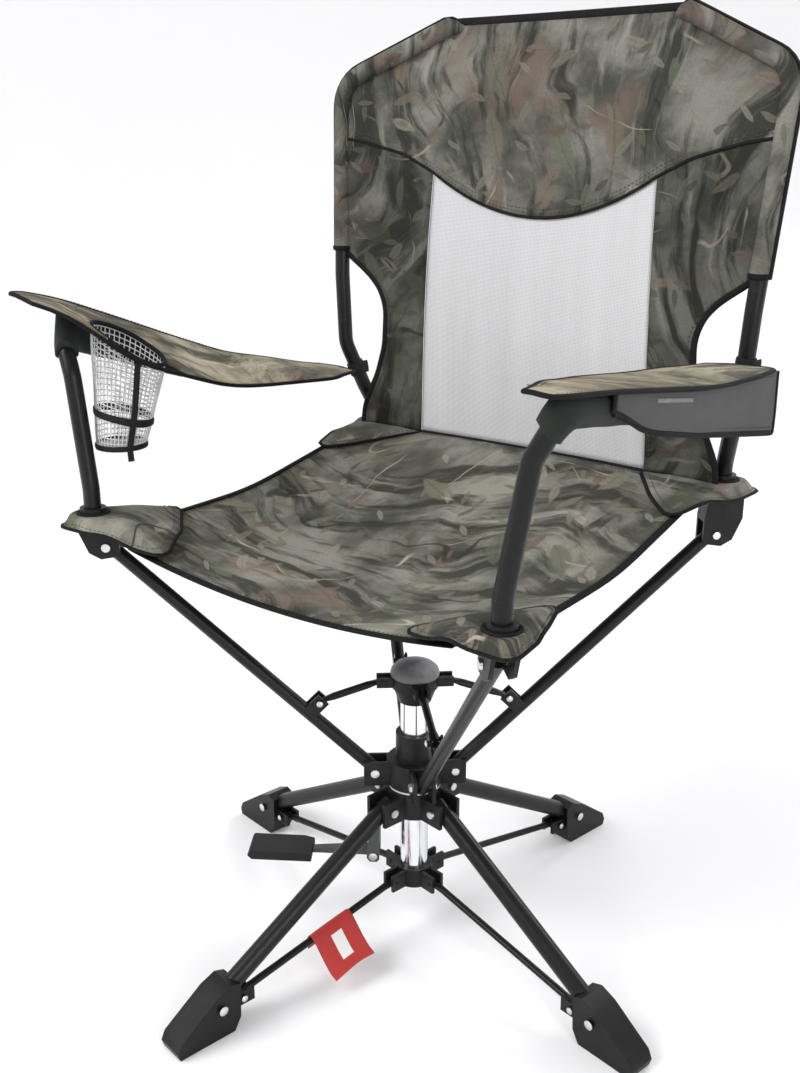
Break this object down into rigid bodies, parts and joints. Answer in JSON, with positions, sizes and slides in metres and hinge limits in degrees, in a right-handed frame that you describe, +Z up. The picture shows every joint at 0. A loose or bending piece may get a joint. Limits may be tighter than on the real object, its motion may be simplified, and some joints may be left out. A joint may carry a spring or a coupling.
{
  "type": "blind swivel chair",
  "caption": "Folding camouflage-cloth chair with armrests and a cup holder that swivels on a four-legged base and folds around its centre column.",
  "frame": {"origin": "on the floor, on the swivel axis, at the middle of the four shoes' outline", "axes": "+Z up, the seat faces -Y, +X is the left of someone sitting in the chair"},
  "size_m": [0.6646, 0.6646, 1.0132],
  "materials": {
    "black_plastic": "moulded glass-filled nylon, satin",
    "black_powder_coat": "black powder coat, semi-gloss",
    "zinc_bolt": "zinc-plated bolt",
    "spring_steel": "oiled spring wire",
    "chrome_column": "chromed tube",
    "pale_plastic": "low-friction washer",
    "camo_cloth": "woven polyester printed with a leaf camouflage",
    "grey_mesh": "pale knitted mesh",
    "grey_pocket": "dark grey woven polyester"
  },
  "bodies": {
    "base": {"lower_hub": "black_plastic", "leg_bolt_front_left": "zinc_bolt", "leg_bolt_front_right": "zinc_bolt", "leg_bolt_back_right": "zinc_bolt", "leg_bolt_back_left": "zinc_bolt", "pedal_bracket": "black_powder_coat", "pedal_pin": "zinc_bolt", "pedal_spring": "spring_steel"},
    "column": {"column_tube": "chrome_column", "column_collar": "black_plastic"},
    "cap": {"cap_ring": "black_plastic", "cap_dome": "black_plastic"},
    "rotor": {"upper_hub": "black_plastic", "thrust_washer": "pale_plastic", "arm_bolt_front_left": "zinc_bolt", "arm_bolt_front_right": "zinc_bolt", "arm_bolt_back_right": "zinc_bolt", "arm_bolt_back_left": "zinc_bolt"},
    "leg_front_left": {"leg_front_left": "black_powder_coat", "shoe_front_left": "black_plastic"},
    "leg_front_right": {"leg_front_right": "black_powder_coat", "shoe_front_right": "black_plastic"},
    "leg_back_right": {"leg_back_right": "black_powder_coat", "shoe_back_right": "black_plastic"},
    "leg_back_left": {"leg_back_left": "black_powder_coat", "shoe_back_left": "black_plastic"},
    "lower_rod_front_left": {"lower_rod_front_left": "black_powder_coat"},
    "lower_rod_front_right": {"lower_rod_front_right": "black_powder_coat"},
    "lower_rod_back_right": {"lower_rod_back_right": "black_powder_coat"},
    "lower_rod_back_left": {"lower_rod_back_left": "black_powder_coat"},
    "strut_front_left": {"strut_front_left": "black_powder_coat"},
    "strut_front_right": {"strut_front_right": "black_powder_coat"},
    "strut_back_right": {"strut_back_right": "black_powder_coat"},
    "strut_back_left": {"strut_back_left": "black_powder_coat"},
    "arm_front_left": {"arm_front_left": "black_powder_coat", "corner_bolt_front_left": "zinc_bolt"},
    "arm_front_right": {"arm_front_right": "black_powder_coat", "corner_bolt_front_right": "zinc_bolt"},
    "arm_back_right": {"arm_back_right": "black_powder_coat", "corner_bolt_back_right": "zinc_bolt"},
    "arm_back_left": {"arm_back_left": "black_powder_coat", "corner_bolt_back_left": "zinc_bolt"},
    "post_front_left": {"corner_bracket_front_left": "black_plastic", "front_post_left": "black_powder_coat", "armrest_left": "camo_cloth", "cup_holder": "grey_mesh"},
    "post_front_right": {"corner_bracket_front_right": "black_plastic", "front_post_right": "black_powder_coat", "armrest_right": "camo_cloth", "side_pocket": "grey_pocket"},
    "post_back_right": {"corner_bracket_back_right": "black_plastic", "back_post_right": "black_powder_coat"},
    "post_back_left": {"corner_bracket_back_left": "black_plastic", "back_post_left": "black_powder_coat"},
    "front_sling": {"seat_front_sling": "camo_cloth"},
    "rear_sling": {"seat_rear_sling": "camo_cloth", "back_sling": "camo_cloth", "mesh_panel": "grey_mesh"},
    "pedal": {"pedal_lever": "black_powder_coat", "pedal_pad": "black_plastic"}
  },
  "joints": [
    {"name": "fold_arm_front_left", "type": "hinge", "parent": "rotor", "child": "arm_front_left", "pos_m": [-0.03413, -0.02933, 0.203], "axis": [-0.6518, 0.7584, 0], "range_deg": [0, 27], "deforming": ["seat_front_sling", "seat_rear_sling", "back_sling", "mesh_panel", "armrest_left", "armrest_right", "side_pocket"]},
    {"name": "fold_arm_front_right", "type": "hinge", "parent": "rotor", "child": "arm_front_right", "pos_m": [0.03413, -0.02933, 0.203], "axis": [-0.6518, -0.7584, 0], "range_deg": [0, 27]},
    {"name": "fold_arm_back_right", "type": "hinge", "parent": "rotor", "child": "arm_back_right", "pos_m": [0.03269, 0.03093, 0.203], "axis": [0.6872, -0.7264, 0], "range_deg": [0, 27]},
    {"name": "fold_arm_back_left", "type": "hinge", "parent": "rotor", "child": "arm_back_left", "pos_m": [-0.03269, 0.03093, 0.203], "axis": [0.6872, 0.7264, 0], "range_deg": [0, 27]},
    {"name": "fold_post_front_left", "type": "hinge", "parent": "arm_front_left", "child": "post_front_left", "pos_m": [-0.24618, -0.21156, 0.47489], "axis": [-0.6518, 0.7584, 0], "range_deg": [-27, 0]},
    {"name": "fold_post_front_right", "type": "hinge", "parent": "arm_front_right", "child": "post_front_right", "pos_m": [0.24618, -0.21156, 0.47489], "axis": [-0.6518, -0.7584, 0], "range_deg": [-27, 0]},
    {"name": "fold_post_back_right", "type": "hinge", "parent": "arm_back_right", "child": "post_back_right", "pos_m": [0.2358, 0.22308, 0.47489], "axis": [0.6872, -0.7264, 0], "range_deg": [-27, 0]},
    {"name": "fold_post_back_left", "type": "hinge", "parent": "arm_back_left", "child": "post_back_left", "pos_m": [-0.2358, 0.22308, 0.47489], "axis": [0.6872, 0.7264, 0], "range_deg": [-27, 0]},
    {"name": "fold_column", "type": "slide", "parent": "base", "child": "column", "axis": [0, 0, 1], "range_m": [0, 0.06348]},
    {"name": "fold_leg_front_left", "type": "hinge", "parent": "base", "child": "leg_front_left", "pos_m": [-0.00774, -0.04433, 0.168], "axis": [0.9851, -0.1719, 0], "range_deg": [0, 32.33]},
    {"name": "fold_leg_front_right", "type": "hinge", "parent": "base", "child": "leg_front_right", "pos_m": [0.04433, -0.00774, 0.168], "axis": [0.1719, 0.9851, 0], "range_deg": [0, 32.33]},
    {"name": "fold_leg_back_right", "type": "hinge", "parent": "base", "child": "leg_back_right", "pos_m": [0.00774, 0.04433, 0.168], "axis": [-0.9851, 0.1719, 0], "range_deg": [0, 32.33]},
    {"name": "fold_leg_back_left", "type": "hinge", "parent": "base", "child": "leg_back_left", "pos_m": [-0.04433, 0.00774, 0.168], "axis": [-0.1719, -0.9851, 0], "range_deg": [0, 32.33]},
    {"name": "fold_lower_rod_front_left", "type": "hinge", "parent": "column", "child": "lower_rod_front_left", "pos_m": [-0.00567, -0.03251, 0.068], "axis": [0.9851, -0.1719, 0], "range_deg": [0, 49.62]},
    {"name": "fold_lower_rod_front_right", "type": "hinge", "parent": "column", "child": "lower_rod_front_right", "pos_m": [0.03251, -0.00567, 0.068], "axis": [0.1719, 0.9851, 0], "range_deg": [0, 49.62]},
    {"name": "fold_lower_rod_back_right", "type": "hinge", "parent": "column", "child": "lower_rod_back_right", "pos_m": [0.00567, 0.03251, 0.068], "axis": [-0.9851, 0.1719, 0], "range_deg": [0, 49.62]},
    {"name": "fold_lower_rod_back_left", "type": "hinge", "parent": "column", "child": "lower_rod_back_left", "pos_m": [-0.03251, 0.00567, 0.068], "axis": [-0.1719, -0.9851, 0], "range_deg": [0, 49.62]},
    {"name": "fold_strut_front_left", "type": "hinge", "parent": "cap", "child": "strut_front_left", "pos_m": [-0.0273, -0.02346, 0.312], "axis": [0.6518, -0.7584, 0], "range_deg": [0, 51.83]},
    {"name": "fold_strut_front_right", "type": "hinge", "parent": "cap", "child": "strut_front_right", "pos_m": [0.0273, -0.02346, 0.312], "axis": [0.6518, 0.7584, 0], "range_deg": [0, 51.83]},
    {"name": "fold_strut_back_right", "type": "hinge", "parent": "cap", "child": "strut_back_right", "pos_m": [0.02615, 0.02474, 0.312], "axis": [-0.6872, 0.7264, 0], "range_deg": [0, 51.83]},
    {"name": "fold_strut_back_left", "type": "hinge", "parent": "cap", "child": "strut_back_left", "pos_m": [-0.02615, 0.02474, 0.312], "axis": [-0.6872, -0.7264, 0], "range_deg": [0, 51.83]},
    {"name": "fold_front_sling", "type": "slide", "parent": "rotor", "child": "front_sling", "axis": [0, 0.7178, 0.6962], "range_m": [0, 0.13975]},
    {"name": "fold_rear_sling", "type": "slide", "parent": "rotor", "child": "rear_sling", "axis": [0, -0.736, 0.677], "range_m": [0, 0.14372]},
    {"name": "swivel", "type": "hinge", "parent": "base", "child": "rotor", "pos_m": [0, 0, 0.1845], "axis": [0, 0, 1], "continuous": true},
    {"name": "cap_spin", "type": "hinge", "parent": "column", "child": "cap", "pos_m": [0, 0, 0.31], "axis": [0, 0, 1], "continuous": true},
    {"name": "pedal", "type": "hinge", "parent": "base", "child": "pedal", "pos_m": [-0.03845, -0.02703, 0.093], "axis": [0.575, -0.8181, 0], "range_deg": [0, 15], "stiffness_Nm_per_rad": 0.8, "springref_deg": -20.05}
  ],
  "couplings": [
    {"joint": "fold_arm_front_right", "follows": "fold_arm_front_left", "ratio": 1},
    {"joint": "fold_arm_back_right", "follows": "fold_arm_front_left", "ratio": 1},
    {"joint": "fold_arm_back_left", "follows": "fold_arm_front_left", "ratio": 1},
    {"joint": "fold_post_front_left", "follows": "fold_arm_front_left", "ratio": -1},
    {"joint": "fold_post_front_right", "follows": "fold_arm_front_left", "ratio": -1},
    {"joint": "fold_post_back_right", "follows": "fold_arm_front_left", "ratio": -1},
    {"joint": "fold_post_back_left", "follows": "fold_arm_front_left", "ratio": -1},
    {"joint": "fold_column", "follows": "fold_arm_front_left", "m_per_rad": 0.13471},
    {"joint": "fold_leg_front_left", "follows": "fold_arm_front_left", "ratio": 1.1975},
    {"joint": "fold_leg_front_right", "follows": "fold_arm_front_left", "ratio": 1.1975},
    {"joint": "fold_leg_back_right", "follows": "fold_arm_front_left", "ratio": 1.1975},
    {"joint": "fold_leg_back_left", "follows": "fold_arm_front_left", "ratio": 1.1975},
    {"joint": "fold_lower_rod_front_left", "follows": "fold_arm_front_left", "ratio": 1.8377},
    {"joint": "fold_lower_rod_front_right", "follows": "fold_arm_front_left", "ratio": 1.8377},
    {"joint": "fold_lower_rod_back_right", "follows": "fold_arm_front_left", "ratio": 1.8377},
    {"joint": "fold_lower_rod_back_left", "follows": "fold_arm_front_left", "ratio": 1.8377},
    {"joint": "fold_strut_front_left", "follows": "fold_arm_front_left", "ratio": 1.9198},
    {"joint": "fold_strut_front_right", "follows": "fold_arm_front_left", "ratio": 1.9198},
    {"joint": "fold_strut_back_right", "follows": "fold_arm_front_left", "ratio": 1.9198},
    {"joint": "fold_strut_back_left", "follows": "fold_arm_front_left", "ratio": 1.9198},
    {"joint": "fold_front_sling", "follows": "fold_arm_front_left", "m_per_rad": 0.29656},
    {"joint": "fold_rear_sling", "follows": "fold_arm_front_left", "m_per_rad": 0.30498},
    {"joint": "cap_spin", "follows": "swivel", "ratio": 1}
  ]
}
